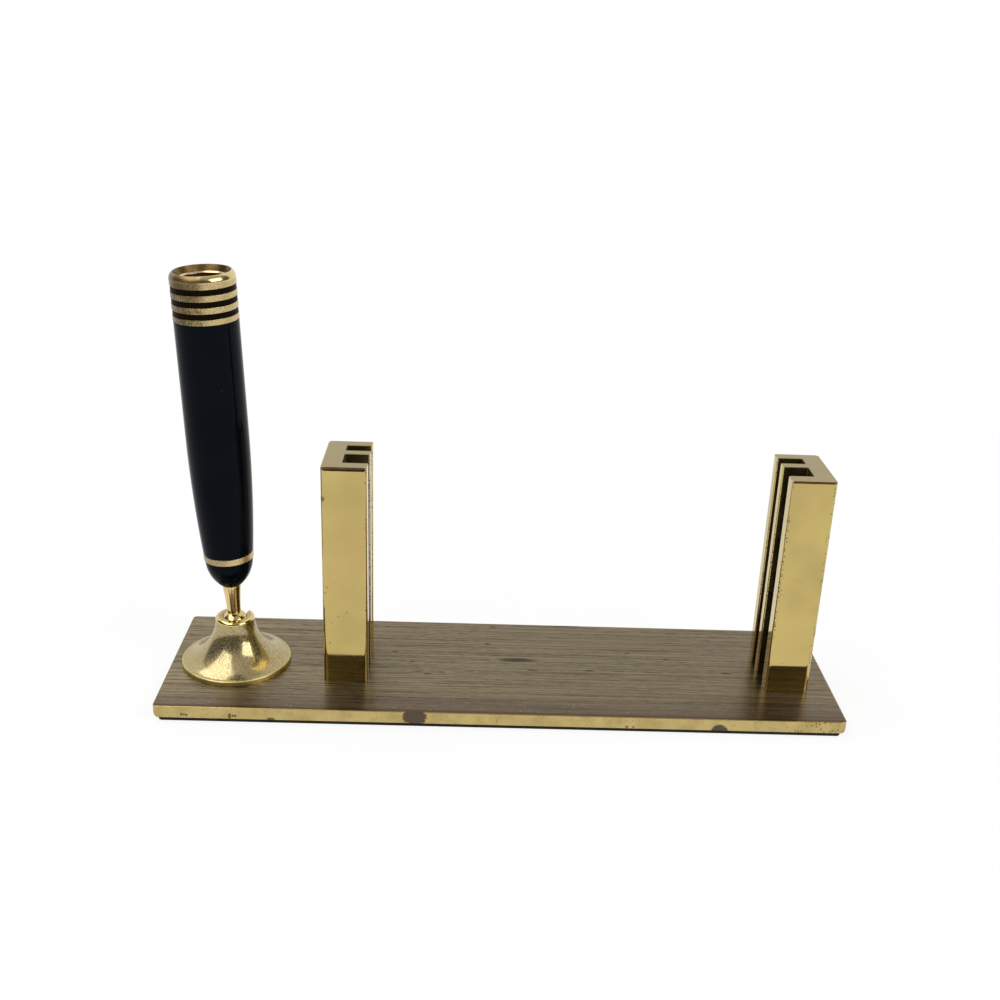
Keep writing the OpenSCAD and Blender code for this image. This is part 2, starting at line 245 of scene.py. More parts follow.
def object_points(tree):
    """Place on the piece, in metres."""
    return place(tree, "ShaderNodeTexCoord").outputs["Object"]


def metal(colour, roughness, normal=None):
    """Sockets of a bare metal surface."""
    sockets = {"Base Color": colour, "Metallic": 1.0, "Roughness": roughness}
    return {**sockets, "Normal": normal} if normal else sockets


def emptied(owner):
    """Node tree of a material or world, with nothing in it yet."""
    owner.use_nodes = True
    owner.node_tree.nodes.clear()
    return owner.node_tree


def new_finish(sockets_of):
    """Material of one principled surface. The function that it is named after works out its sockets from
    the place on the piece."""
    material = bpy.data.materials.new(sockets_of.__name__.replace("_", " "))
    surface = node("ShaderNodeBsdfPrincipled", sockets_of(object_points(emptied(material))))
    node("ShaderNodeOutputMaterial", {"Surface": surface.outputs[0]})
    return material


def new_group(name, inputs, outputs, wiring):
    """Shader node group: wiring takes its inputs and gives a value for each output."""
    group = bpy.data.node_groups.new(name, "ShaderNodeTree")
    for socket, kind in inputs.items():
        group.interface.new_socket(name=socket, in_out="INPUT", socket_type="NodeSocket" + kind)
    for socket in outputs:
        group.interface.new_socket(name=socket, in_out="OUTPUT", socket_type="NodeSocketFloat")
    place(group, "NodeGroupOutput", wiring(group.nodes.new("NodeGroupInput").outputs))
    return group


def grouped(group, sockets):
    """Places a node group and gives its outputs."""
    return node("ShaderNodeGroup", sockets, node_tree=group).outputs


def stretched(vector, along, across):
    """Place scaled by along on X and by across on Y and Z, for marks that run along X."""
    sockets = {0: along, 1: across, 2: across}
    scale = place(vector.id_data, "ShaderNodeCombineXYZ", sockets).outputs[0]
    return vectors("MULTIPLY", vector, scale)


def brush_wiring(entry):
    """Straight hairlines: noise that hardly changes along X, taken from here or from a metre away by a mask
    drawn out along X, so that lines begin and end. Short dark dashes are the crests of a further noise."""
    here, run, line = entry["Vector"], entry["Run"], entry["Line"]
    away = vectors("ADD", here, (0, 1, 1))
    long_run = times(run, 0.06)
    first = noise(stretched(here, long_run, line), 1.0, 3.0, 0.7)
    second = noise(stretched(away, long_run, line), 1.0, 3.0, 0.7)
    breaks = noise(stretched(here, run, times(line, 1.2)), 1.0)
    lines = node("ShaderNodeMix", {0: ramp(breaks, 0.47, 0.53), 2: first, 3: second}).outputs[0]
    dashes = noise(stretched(away, times(run, 2.0), times(line, 0.5)), 1.0, 2.0, 0.5)
    return {"Streaks": ramp(lines, 0.32, 0.68), "Dashes": ramp(dashes, 0.66, 0.76)}


brush_marks = new_group("Brush marks", {"Vector": "Vector", "Run": "Float", "Line": "Float"},
                        ["Streaks", "Dashes"], brush_wiring)


def brushed(vector, run, line):
    """Brush marks, with so many runs and lines per metre."""
    return grouped(brush_marks, {"Vector": vector, "Run": run, "Line": line})


def pit_wiring(entry):
    """Round pits: places closer than Size to a cell's seed, in cells whose random value is under Share."""
    cells = node("ShaderNodeTexVoronoi", {"Vector": entry["Vector"], "Scale": entry["Scale"]})
    dot = ramp(cells.outputs["Distance"], times(entry["Size"], 0.4), entry["Size"], 1.0, 0.0)
    pick = node("ShaderNodeSeparateColor", {0: cells.outputs["Color"]}).outputs[0]
    kept = sums("LESS_THAN", pick, entry["Share"])
    return {"Pits": times(dot, kept)}


pits = new_group("Pits", {"Vector": "Vector", "Scale": "Float", "Size": "Float", "Share": "Float"},
                 ["Pits"], pit_wiring)


def pitted(vector, scale, size, share):
    """Pits, with so many cells per metre, and their size and share of the cells."""
    sockets = {"Vector": vector, "Scale": scale, "Size": size, "Share": share}
    return grouped(pits, sockets)["Pits"]


def spot_wiring(entry):
    """Oval spot: distance from Centre, measured in Half sizes and ruffled by noise, stepped down near 1."""
    offset = vectors("SUBTRACT", entry["Vector"], entry["Centre"])
    far = vectors("LENGTH", vectors("DIVIDE", offset, entry["Half sizes"]))
    ruffle = times(noise(entry["Vector"], 1500.0), 0.5)
    return {"Spot": ramp(sums("ADD", far, ruffle), entry["Soft from"], 1.3, 1.0, 0.0)}


spot_inputs = {"Vector": "Vector", "Centre": "Vector", "Half sizes": "Vector", "Soft from": "Float"}
spot = new_group("Spot", spot_inputs, ["Spot"], spot_wiring)


def spots(vector, marks, soft_from):
    """Largest of several spots, each given as its centre and half sizes in millimetres."""
    total = 0.0
    for centre, half in marks:
        sockets = {"Vector": vector, "Centre": [c * mm for c in centre], "Half sizes": [h * mm for h in half],
                   "Soft from": soft_from}
        total = sums("MAXIMUM", grouped(spot, sockets)["Spot"], total)
    return total


top_z = plate_high.z / mm
front_y = plate_low.y / mm
brush_slips = [((x, y, top_z), (half_length, half_width, 1)) for x, y, half_length, half_width in (
    (3.7, 2.8, 5.3, 1.15), (-23.0, 5.2, 0.9, 0.42), (-19.1, 1.1, 0.6, 0.4), (-2.9, 9.8, 1.0, 0.42),
    (-15.7, -4.0, 1.1, 0.4), (6.7, -1.4, 1.7, 0.35), (-1.5, 17.8, 1.2, 0.4), (28.0, 7.2, 0.8, 0.4),
    (19.0, -1.1, 1.4, 0.4), (36.4, 4.7, 1.2, 0.4), (48.6, -0.7, 1.4, 0.4), (15.0, 19.2, 4.5, 0.6))]
edge_stains = [((-17.6, front_y, 2.4), (2.5, 3.0, 2.0)), ((44.1, front_y, 0.5), (1.9, 3.0, 1.9))]
edge_scuffs = [((x, front_y, z), (half_length, 1, half_height)) for x, z, half_length, half_height in (
    (-64.2, 1.75, 0.25, 0.4), (-63.7, 1.7, 0.22, 0.3), (-63.2, 1.6, 0.3, 0.3), (-54.6, 1.6, 0.4, 0.7),
    (-54.0, 1.7, 0.25, 0.35), (-53.5, 1.65, 0.35, 0.3), (-46.4, 1.15, 0.9, 0.35), (25.3, 1.3, 0.35, 0.3),
    (26.6, 1.3, 0.3, 0.25))]


def antique_top(point):
    """Brown patina in the brush lines, thinner and lighter on their crests, redder along the front edge."""
    long = brushed(point, 110.0, 2300.0)
    short = brushed(point, 420.0, 3600.0)
    streaks = node("ShaderNodeMix", {0: 0.55, 2: long["Streaks"], 3: short["Streaks"]}).outputs[0]
    dust = times(noise(point, 6000.0, 1.0), 0.3)
    crests = ramp(sums("ADD", streaks, dust), 0.2, 0.9)
    colour = blended(crests, (0.018, 0.012, 0.005), (0.292, 0.24, 0.142))
    tint = brushed(point, 30.0, 700.0)["Streaks"]
    cloud = ramp(noise(stretched(point, 22.0, 70.0), 1.0), 0.35, 0.7)
    redder = sums("ADD", times(cloud, 0.22), times(tint, 0.16))
    colour = blended(redder, colour, (0.245, 0.17, 0.112))
    y = coordinate(point, "Y")
    front = ramp(y, plate_low.y + 2 * mm, plate_low.y + 9 * mm, 0.55, 0.0)
    colour = blended(front, colour, (0.12, 0.084, 0.06))
    specks = pitted(point, 1100.0, 0.26, 0.22)
    colour = blended(times(specks, front), colour, (0.46, 0.38, 0.26))
    slips = sums("MAXIMUM", spots(point, brush_slips, 0.6), times(long["Dashes"], 0.15))
    colour = blended(times(slips, 0.88), colour, (0.04, 0.03, 0.01))
    brink = ramp(y, plate_low.y + 0.5 * mm, plate_low.y + 1.3 * mm, 0.85, 0.0)
    colour = blended(brink, colour, (0.105, 0.052, 0.024))
    tangent = place(point.id_data, "ShaderNodeTangent", direction_type="UV_MAP", uv_map="surface").outputs[0]
    sockets = metal(colour, ramp(streaks, 0.0, 1.0, 0.3, 0.42), bumped(streaks, 0.006 * mm))
    return {**sockets, "Anisotropic": 0.75, "Anisotropic Rotation": 0.25, "Tangent": tangent}


def polished_edge(point):
    """Buffed brass with faint clouds, fine pits that crowd to the right end, and round tarnish stains."""
    cloud = ramp(noise(point, 260.0, 4.0), 0.35, 0.65)
    colour = blended(cloud, (0.53, 0.412, 0.165), (0.43, 0.326, 0.128))
    near_end = ramp(coordinate(point, "X"), 45 * mm, 69 * mm)
    share = ramp(near_end, 0.0, 1.0, 0.26, 0.5)
    width = ramp(near_end, 0.0, 1.0, 0.36, 0.52)
    dots = pitted(point, 1700.0, width, share)
    dots = times(dots, ramp(near_end, 0.0, 1.0, 0.38, 0.85))
    marks = sums("MAXIMUM", dots, spots(point, edge_scuffs, 0.9))
    colour = blended(times(marks, 0.8), colour, (0.1, 0.068, 0.028))
    stains = spots(point, edge_stains, 1.1)
    colour = blended(times(stains, 0.92), colour, (0.088, 0.064, 0.055))
    roughness = ramp(sums("MAXIMUM", stains, marks), 0.0, 1.0, 0.16, 0.5)
    return metal(colour, roughness, bumped(times(marks, -1.0), 0.02 * mm))


def box_outline(low, high, radius):
    """Rectangle seen from above, with round corners."""
    return rounded([(low.x, low.y), (high.x, low.y), (high.x, high.y), (low.x, high.y)], radius)


plate_outline = box_outline(plate_low, plate_high, plate_corner)
facing_end = np.abs(plate_outline[1][:, 0])
plate_foot_round = plate_edge_round + (plate_end_round - plate_edge_round) * facing_end
plate_grid, _ = raised(plate_outline, plate_low.z, plate_high.z, plate_foot_round, plate_edge_round)
plate_strips = np.zeros((len(plate_grid) - 1, 1), int)
plate_strips[-1] = 1
plate_finishes = [new_finish(polished_edge), new_finish(antique_top)]
plate = skin("brass_plate", plate_grid, plate_finishes, plate_strips, 1)
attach(plate, "base")
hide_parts("base_plate")

# Felt pad
# Black felt glued under the plate, to keep the screws and the brass off the desk.
# It is cut a little smaller, so that it shows only as a dark line.
pad_low, pad_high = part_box("base_pad")
pad_end_inset = Vector((0.5 * mm, 0, 0))
pad_foot_round, pad_top_round = 0.15 * mm, 0.1 * mm


def black_felt(point):
    """Matted black wool: tangled fibres from fine noise, with a soft sheen."""
    fibres = noise(point, 2500.0, 5.0, 0.7)
    colour = blended(fibres, (0.006, 0.006, 0.006), (0.028, 0.026, 0.024))
    return {"Base Color": colour, "Roughness": 0.95, "Sheen Weight": 0.25, "Specular IOR Level": 0.1,
            "Normal": bumped(fibres, 0.15 * mm)}


pad_outline = box_outline(pad_low + pad_end_inset, pad_high - pad_end_inset, plate_corner)
pad_grid, _ = raised(pad_outline, pad_low.z, pad_high.z, pad_foot_round, pad_top_round)
pad = skin("felt_pad", pad_grid, [new_finish(black_felt)])
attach(pad, "base")
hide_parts("base_pad")

# Card posts
# Two lengths of solid brass with two slots milled down one side, to hold cards at both ends.
# The outside is polished, the top is sanded to a satin, and the edges are softened by the buffing wheel.
front_wall, front_slot, middle_wall, rear_slot = 3.3 * mm, 5.0 * mm, 2.2 * mm, 3.0 * mm
slot_depth = 5.1 * mm
slot_edge_round, slot_floor_round, outer_round = 0.3 * mm, 0.15 * mm, 0.9 * mm
top_edge_round, foot_edge_round, round_turns = 0.14 * mm, 0.05 * mm, 5
tip_shoulder, top_shoulder = 0.15 * mm, 0.12 * mm
post_nicks = [((-37.0, -7.7, 44.4), (1.0, 1.4, 0.9)), ((64.5, -7.7, 17.5), (0.6, 1.2, 0.9))]


def edge_mark(point):
    """Mark of the rounded edges on the piece."""
    return place(point.id_data, "ShaderNodeAttribute", attribute_name="edge").outputs["Fac"]


def polished_post(point):
    """Mirror-polished brass with faint lacquer clouds, and dark pits where the edges have lost lacquer."""
    cloud = ramp(noise(point, 70.0, 3.0, 0.5), 0.33, 0.67)
    warm = ramp(noise(point, 38.0, 2.0), 0.45, 0.65)
    colour = blended(cloud, (0.562, 0.437, 0.155), (0.47, 0.362, 0.132))
    colour = blended(times(warm, 0.5), colour, (0.56, 0.4, 0.156))
    crowd = ramp(noise(point, 120.0), 0.36, 0.58)
    share = times(ramp(edge_mark(point), 0.25, 1.0, 0.008, 0.9), crowd)
    dots = pitted(point, 2300.0, 0.55, share)
    dots = sums("MAXIMUM", dots, spots(point, post_nicks, 0.5))
    colour = blended(times(dots, 0.75), colour, (0.09, 0.055, 0.02))
    roughness = sums("ADD", times(cloud, 0.05), ramp(dots, 0.0, 1.0, 0.05, 0.4))
    return metal(colour, roughness, bumped(noise(point, 260.0, 2.0), 0.004 * mm))


def satin_top(point):
    """Sanded end of the bar: greyer brass with fine scratches along X, a little brighter at its edges."""
    fine = brushed(point, 220.0, 5200.0)["Streaks"]
    colour = blended(fine, (0.3, 0.236, 0.105), (0.385, 0.305, 0.145))
    colour = blended(times(edge_mark(point), 0.25), colour, (0.62, 0.49, 0.2))
    return metal(colour, 0.34, bumped(fine, 0.004 * mm))


def slot_brass_and_shade(point):
    """Milled brass left as cut, with cutter lines across the slot; its blotched dark brown is partly tarnish
    and partly painted shade for the recess.
    """
    cutter = brushed(point, 90.0, 2600.0)["Streaks"]
    brown = ramp(noise(point, 240.0, 4.0), 0.3, 0.7)
    # Both browns are darkened as painted shade, for the inside of the slot.
    colour = blended(brown, (0.25, 0.192, 0.076), (0.125, 0.092, 0.038))
    return metal(colour, ramp(brown, 0.0, 1.0, 0.28, 0.45), bumped(cutter, 0.006 * mm))


def dark_front_edge(point):
    """Rounded front edge of the top, painted dark brown in clouds."""
    cloud = ramp(noise(point, 300.0, 4.0), 0.35, 0.7)
    colour = blended(cloud, (0.125, 0.058, 0.018), (0.06, 0.036, 0.018))
    return metal(colour, 0.4)


post_finishes = [new_finish(finish) for finish in (polished_post, satin_top, slot_brass_and_shade, dark_front_edge)]
post_pieces = [
    ("left_post", "left_upright", 1, 0.62 * mm, 0.35),
    ("right_post", "right_upright", -1, 0.36 * mm, 0.75)]
for post_name, post_node, facing, front_round, outer_wear in post_pieces:
    post_low, post_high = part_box(post_node)
    width, depth = post_high.x - post_low.x, post_high.y - post_low.y
    floor_x = width - slot_depth
    slot_y = np.cumsum([front_wall, front_slot, middle_wall, rear_slot])
    slot_corners = [corner for near, far in slot_y.reshape(2, 2)
                    for corner in ((width, near), (floor_x, near), (floor_x, far), (width, far))]
    post_corners = np.array([(0, 0), (width, 0), *slot_corners, (width, depth), (0, depth)])
    slot_radii = [slot_edge_round, slot_floor_round, slot_floor_round, slot_edge_round]
    tip_radius = front_round + tip_shoulder
    post_radii = np.array([outer_round, tip_radius, *slot_radii, *slot_radii, slot_edge_round, outer_round])
    if facing > 0:
        post_corners += (post_low.x, post_low.y)
    else:
        post_corners = post_corners[::-1] * (-1, 1) + (post_high.x, post_low.y)
        post_radii = post_radii[::-1]
    points, normals, corner_mark = rounded(post_corners, post_radii)
    from_tips = facing * (points[:, 0] - post_low.x - width / 2) - width / 2
    corner_mark *= np.where(from_tips > -slot_edge_round, 1, outer_wear)
    facing_front = np.clip(-normals[:, 1], 0, 1) ** 2 * (points[:, 1] < post_low.y + front_round)
    top_round = top_edge_round + (front_round - top_edge_round) * facing_front
    post_grid, post_mark = raised((points, normals, corner_mark), post_low.z, post_high.z,
                                  foot_edge_round, top_round, round_turns, top_shoulder)
    from_front = points[:, 1] - post_low.y
    inside = (from_tips < -slot_edge_round) & (from_front > front_wall - slot_edge_round)
    inside &= from_front < slot_y[3] + slot_edge_round
    strips = np.zeros((len(post_grid) - 1, len(points)), int)
    # Faces inside the slots take the milled finish, with its painted shade.
    strips[:, inside & np.roll(inside, -1)] = 2
    strips[-round_turns - 1:-1, facing_front > 0.5] = 3
    strips[-1] = 1
    post = skin(post_name, post_grid, post_finishes, strips, 1, post_mark)
    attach(post, "base")
    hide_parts(post_node)

# Trumpet foot
# Turned from brass bar, then tumbled to a fine grain, with a polished bead at the lip that holds the ball.
# A scoop in the lip takes the stem when the holder is laid over. One screw from below holds it down.
bell_low, bell_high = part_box("swivel_bell")
joints = {joint["name"]: joint for joint in frame["joints"]}
ball_centre = Vector(joints["holder_spin"]["pos_m"])
holder_axis = Vector(joints["holder_spin"]["axis"]).normalized()
flange_radius = (bell_high.x - bell_low.x) / 2
bell_height = bell_high.z - bell_low.z
rim_height, rim_round = 1.1 * mm, 0.3 * mm
flare_radius, neck_wall, lip_round = 10.0 * mm, 1.0 * mm, 0.7 * mm
socket_radius = 3.05 * mm
neck_radius = socket_radius + neck_wall
scoop_heading, scoop_lean, scoop_radius = math.radians(66), math.radians(60), 1.54 * mm
bell_columns, scoop_columns = 320, 40
fine_round, lip_inner_round, section_shoulder = 0.08 * mm, 0.12 * mm, 0.1 * mm
bead_margin, bell_crease, seat_gap = 0.05 * mm, math.radians(35), 6
full_turn = np.linspace(0, 2 * math.pi, 180, endpoint=False)


def arc(middle, radius, start, end, steps):
    """Points on a circle about middle, from angle start to angle end in degrees."""
    angle = np.radians(np.linspace(start, end, steps + 1))
    return np.stack([middle[0] + radius * np.cos(angle), middle[1] + radius * np.sin(angle)], 1)


def hollow_arc(start, end, radius, steps):
    """Points on a circle of that radius through two points, on the side towards the axis.
    The middle lies square to the chord at the root of radius squared less half the chord squared."""
    start, end = np.array(start), np.array(end)
    chord = end - start
    half = np.linalg.norm(chord) / 2
    square = np.array([chord[1], -chord[0]]) / (2 * half)
    middle = (start + end) / 2 + math.sqrt(radius ** 2 - half ** 2) * square
    first = math.degrees(math.atan2(*(start - middle)[::-1]))
    return arc(middle, radius, first, first - 2 * math.degrees(math.asin(half / radius)), steps)


def section(*runs):
    """Rounded path of a turned section. A run is an arc's points, or corners (radius, height, rounding)."""
    rows = [np.atleast_2d(run) for run in runs]
    rows = [np.pad(row, ((0, 0), (0, 3 - row.shape[1]))) for row in rows]
    corners = np.concatenate(rows)
    return rounded(corners[:, :2], corners[:, 2], shoulder=section_shoulder)[0]


def turned(path, middle=ball_centre, axis=holder_axis, angle=full_turn):
    """Section turned about an axis: middle + height * axis + radius * (cos a * side + sin a * front).
    It is the holder's axis if none is given. The angles are the same for every row, or a grid."""
    axis = np.array(axis) / np.linalg.norm(axis)
    side = np.array([1.0, 0.0, 0.0]) - axis[0] * axis
    side /= np.linalg.norm(side)
    front = np.cross(axis, side)
    spoke = np.cos(angle)[..., None] * side + np.sin(angle)[..., None] * front
    return np.array(middle) + path[:, :1, None] * spoke + path[:, 1:, None] * axis


def scooped(path, middle):
    """Section turned about the upright through middle, with a scoop of round bottom sunk into its lip.
    The scoop's columns keep their distance beside its middle line, and the others span the rest of the turn.
    Both sets have a column at each side, so that the walls stand upright.
    Over the ball's centre the scoop's floor has the height
    ahead / tan(lean) - sqrt(scoop_radius^2 - beside^2) / sin(lean). No cut point is nearer than where that
    floor runs out on the ball's seat, which is where ahead^2 + beside^2 + height^2 = socket_radius^2."""
    radius, height = path[:, :1], path[:, 1:]
    beside = scoop_radius * np.linspace(-1, 1, scoop_columns + 1)
    off = np.arcsin(beside / radius)
    about = off[:, -1:] + 2 * (math.pi - off[:, -1:]) * np.linspace(0, 1, bell_columns + 1)
    rise = 1 / math.tan(scoop_lean)
    sag = np.sqrt(scoop_radius ** 2 - beside ** 2) / math.sin(scoop_lean)
    within_seat = socket_radius ** 2 - beside ** 2
    root = np.sqrt(within_seat * (1 + rise ** 2) - sag ** 2)
    run_out = (rise * sag + root) / (1 + rise ** 2)
    ahead = radius * np.cos(off)
    cut = height > middle.z + rise * ahead - sag
    ahead = np.where(cut, np.maximum(ahead, run_out), ahead)
    height = np.where(cut, middle.z + rise * ahead - sag, height)
    forward, sideways = math.cos(scoop_heading), math.sin(scoop_heading)
    scoop_x = middle.x + ahead * forward - beside * sideways
    scoop_y = middle.y + ahead * sideways + beside * forward
    rest = turned(path, (middle.x, middle.y, 0), (0, 0, 1), scoop_heading + about)
    return np.concatenate([np.stack([scoop_x, scoop_y, height], -1), rest], 1)


def grain_wiring(entry):
    """Tumbled grain: two sizes of fine noise, the smaller one weighted by Fine."""
    rough = noise(entry["Vector"], entry["Scale"], 2.0, 0.6)
    fine = noise(entry["Vector"], times(entry["Scale"], 2.6), 2.0, 0.6)
    return {"Grain": sums("ADD", rough, times(fine, entry["Fine"]))}


grain_inputs = {"Vector": "Vector", "Scale": "Float", "Fine": "Float"}
grain = new_group("Grain", grain_inputs, ["Grain"], grain_wiring)


def tumbled_brass(point):
    """Satin brass with a sparkling grain: smooth crests that mirror, and rough hollows that spread the light.
    Dark pits lie mostly on its right side."""
    speckle = grouped(grain, {"Vector": point, "Scale": 4600.0, "Fine": 0.8})["Grain"]
    hollows = ramp(speckle, 0.8, 0.94, 1.0, 0.0)
    colour = blended(hollows, (0.474, 0.388, 0.2), (0.39, 0.309, 0.155))
    share = ramp(coordinate(point, "X"), ball_centre.x, ball_centre.x + 6 * mm, 0.12, 0.36)
    dots = pitted(point, 2300.0, 0.5, share)
    colour = blended(times(dots, 0.5), colour, (0.13, 0.09, 0.055))
    return metal(colour, ramp(hollows, 0.0, 1.0, 0.12, 0.48), bumped(speckle, 0.003 * mm))


def turned_rim(point):
    """Rim left from the lathe: close rings round it, which spread the light."""
    height = coordinate(point, "Z")
    rings = noise(node("ShaderNodeCombineXYZ", {2: height}).outputs[0], 9000.0, 2.0)
    cloud = ramp(noise(point, 500.0, 3.0), 0.35, 0.7)
    colour = blended(cloud, (0.72, 0.575, 0.24), (0.58, 0.45, 0.175))
    return metal(colour, ramp(rings, 0.3, 0.7, 0.32, 0.5), bumped(rings, 0.01 * mm))


def polished_turning(point):
    """Turned brass polished on the lathe, with faint clouds."""
    cloud = ramp(noise(point, 400.0, 3.0), 0.35, 0.7)
    colour = blended(cloud, (0.7, 0.545, 0.24), (0.63, 0.48, 0.2))
    return metal(colour, ramp(cloud, 0.0, 1.0, 0.06, 0.11))


ball_height = ball_centre.z - bell_low.z
lip_hold = math.degrees(math.asin((bell_height - ball_height) / socket_radius))
flare_foot = (flange_radius - 2 * rim_round, rim_height)
flare_top = (neck_radius, bell_height - lip_round)
bell_path = section(
    (socket_radius, 0, 0), (flange_radius, 0, fine_round),
    arc((flange_radius - rim_round, rim_height - rim_round), rim_round, 0, 90, 6),
    hollow_arc(flare_foot, flare_top, flare_radius, 64),
    arc((neck_radius - lip_round, flare_top[1]), lip_round, 0, 90, 10),
    (socket_radius * math.cos(math.radians(lip_hold)), bell_height, lip_inner_round),
    arc((0, ball_height), socket_radius, lip_hold - seat_gap, 0, 9))
bell_path[:, 1] += bell_low.z
bell_grid = scooped(bell_path, ball_centre)
bell_radius, bell_z = bell_path.T
on_bead = (bell_z > bell_low.z + flare_top[1] - bead_margin) & (bell_radius > neck_radius - lip_round)
on_rim = (bell_radius > flange_radius - 0.5 * rim_round) & (bell_z < bell_low.z + rim_height)
bell_strips = np.where(on_bead, 1, np.where(on_rim, 2, 0))[:, None]
bell_finishes = [new_finish(finish) for finish in (tumbled_brass, polished_turning, turned_rim)]
bell = skin("trumpet_foot", bell_grid, bell_finishes, bell_strips, ring=True, crease=bell_crease)
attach(bell, "base")
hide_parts("swivel_bell")

# Ball and stem
# One brass turning: a polished ball, a stem that widens in a slight hollow to a shoulder, and a thread.
# The ball is held under the foot's lip, and the thread goes up into the nose.
ball_radius, stem_radius, shoulder_radius = 3.0 * mm, 1.2 * mm, 1.9 * mm
stem_length, thread_radius, thread_end = 9.3 * mm, 1.2 * mm, 15.3 * mm
stem_hollow, stem_land, pole_gap, neck_gap = 70.0 * mm, 0.3 * mm, 2, 2
pole_radius, shoulder_round, thread_round = 0.1 * mm, 0.1 * mm, 0.05 * mm
stem_slope = math.atan((shoulder_radius - stem_radius) / stem_length)
neck_angle = math.acos(stem_radius * math.cos(stem_slope) / ball_radius) - stem_slope
neck_at = (ball_radius * math.cos(neck_angle), ball_radius * math.sin(neck_angle))
# Centre and half sizes of the brown band on the stem's front, a painted reflection.
stem_painted_reflection = [((-56.64, -1.5, 18.0), (0.5, 1.2, 4.8))]


def stem_brass_with_painted_reflection(point):
    """Polished turning with a brown band painted down the front of the stem, a painted reflection."""
    sockets = polished_turning(point)
    # Painted reflection: a brown band darkens the stem's front.
    painted_reflection = times(spots(point, stem_painted_reflection, 0.75), 0.9)
    sockets["Base Color"] = blended(painted_reflection, sockets["Base Color"], (0.125, 0.062, 0.014))
    return sockets


stem_path = section(
    (pole_radius, -ball_radius, 0),
    arc((0, 0), ball_radius, pole_gap - 90, math.degrees(neck_angle) - neck_gap, 60),
    hollow_arc(neck_at, (shoulder_radius, stem_length - stem_land), stem_hollow, 24),
    (shoulder_radius, stem_length, shoulder_round), (thread_radius, stem_length, thread_round),
    (thread_radius, thread_end, shoulder_round), (pole_radius, thread_end, 0))
stem = skin("ball_and_stem", turned(stem_path), [new_finish(stem_brass_with_painted_reflection)])
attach(stem, "stud")
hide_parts("ball_stud")

# Nose and barrel
# Both turned from black resin and polished to a deep gloss. The nose is drawn down on the stem by a nut
# inside, and its spigot carries the waist ring and the barrel.
holder_side = (Vector((1, 0, 0)) - holder_axis.x * holder_axis).normalized()
holder_front = holder_axis.cross(holder_side)
holder_turn = Matrix((holder_side, holder_front, holder_axis)).transposed().to_euler()
nose_foot, nose_top, nose_land = 9.35 * mm, 15.6 * mm, 0.1 * mm
barrel_foot, barrel_top, barrel_chamfer, mouth_top = 16.95 * mm, 65.95 * mm, 0.06 * mm, 75.15 * mm
nose_radius, nose_top_radius, waist_radius, barrel_radius = 2.1 * mm, 4.87 * mm, 5.07 * mm, 6.19 * mm
taper_length, spigot_radius, bore_radius = 25.8 * mm, 3.55 * mm, 4.83 * mm
spigot_end, liner_foot, liner_top = nose_top + 6 * mm, 24.1 * mm, 74.05 * mm
pocket_radius, pocket_foot, spigot_round = 2.6 * mm, 12.3 * mm, 0.2 * mm
thread_hole, spigot_hole = thread_radius + 0.05 * mm, spigot_radius + 0.03 * mm


def holder_points(point):
    """Place on the holder, with its own axis as Z and the ball's centre as origin."""
    sockets = {"Vector": point, "Location": ball_centre, "Rotation": holder_turn}
    return node("ShaderNodeMapping", sockets, vector_type="TEXTURE").outputs[0]


def unrolled(point, slant=0.0):
    """Place on the holder unrolled: height on X, the way round from the front on Y, turned by slant."""
    along = node("ShaderNodeSeparateXYZ", {0: point}).outputs
    way_round = times(sums("ARCTAN2", along["X"], times(along["Y"], -1.0)), barrel_radius)
    flat = node("ShaderNodeCombineXYZ", {0: along["Z"], 1: way_round}).outputs[0]
    return node("ShaderNodeMapping", {"Vector": flat, "Rotation": (0, 0, -slant)}).outputs[0]


def taper_arc(foot_radius, top_radius, foot, top, steps):
    """Arc that ends upright at the top radius and starts at the foot radius."""
    rise, spread = top - foot, top_radius - foot_radius
    radius = (rise ** 2 + spread ** 2) / (2 * spread)
    return arc((top_radius - radius, top), radius, -math.degrees(math.asin(rise / radius)), 0, steps)


def gloss_black(point):
    """Black resin with a trace of navy, fine hairline scratches along it and a few specks of dust."""
    point = holder_points(point)
    hairs = brushed(unrolled(point), 60.0, 3200.0)["Streaks"]
    cloud = ramp(noise(point, 90.0), 0.35, 0.7)
    dust = pitted(point, 700.0, 0.16, 0.06)
    colour = blended(cloud, (0.001, 0.0024, 0.0048), (0.0018, 0.0035, 0.0062))
    colour = blended(times(dust, 0.15), colour, (0.1, 0.1, 0.11))
    return {"Base Color": colour, "Roughness": ramp(hairs, 0.3, 1.0, 0.07, 0.12),
            "Specular IOR Level": 0.045, "Normal": bumped(hairs, 0.0015 * mm)}


black_finish = new_finish(gloss_black)
nose_path = section(
    (thread_hole, nose_foot, 0),
    taper_arc(nose_radius, nose_top_radius, nose_foot, nose_top - nose_land, 40),
    (nose_top_radius, nose_top, fine_round), (spigot_radius, nose_top, 0),
    (spigot_radius, spigot_end, spigot_round), (pocket_radius, spigot_end, spigot_round),
    (pocket_radius, pocket_foot, 0), (thread_hole, pocket_foot, 0))
nose = skin("nose", turned(nose_path), [black_finish], ring=True)
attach(nose, "holder")
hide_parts("holder_tip")

barrel_path = section(
    (spigot_hole, barrel_foot, 0), (waist_radius - barrel_chamfer, barrel_foot, 0),
    taper_arc(waist_radius, barrel_radius, barrel_foot + barrel_chamfer, barrel_foot + taper_length, 48),
    (barrel_radius, barrel_top, fine_round), (bore_radius, barrel_top, 0),
    (bore_radius, liner_foot, 0), (spigot_hole, liner_foot, 0))
barrel = skin("barrel_body", turned(barrel_path), [black_finish], ring=True)
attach(barrel, "holder")
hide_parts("barrel")

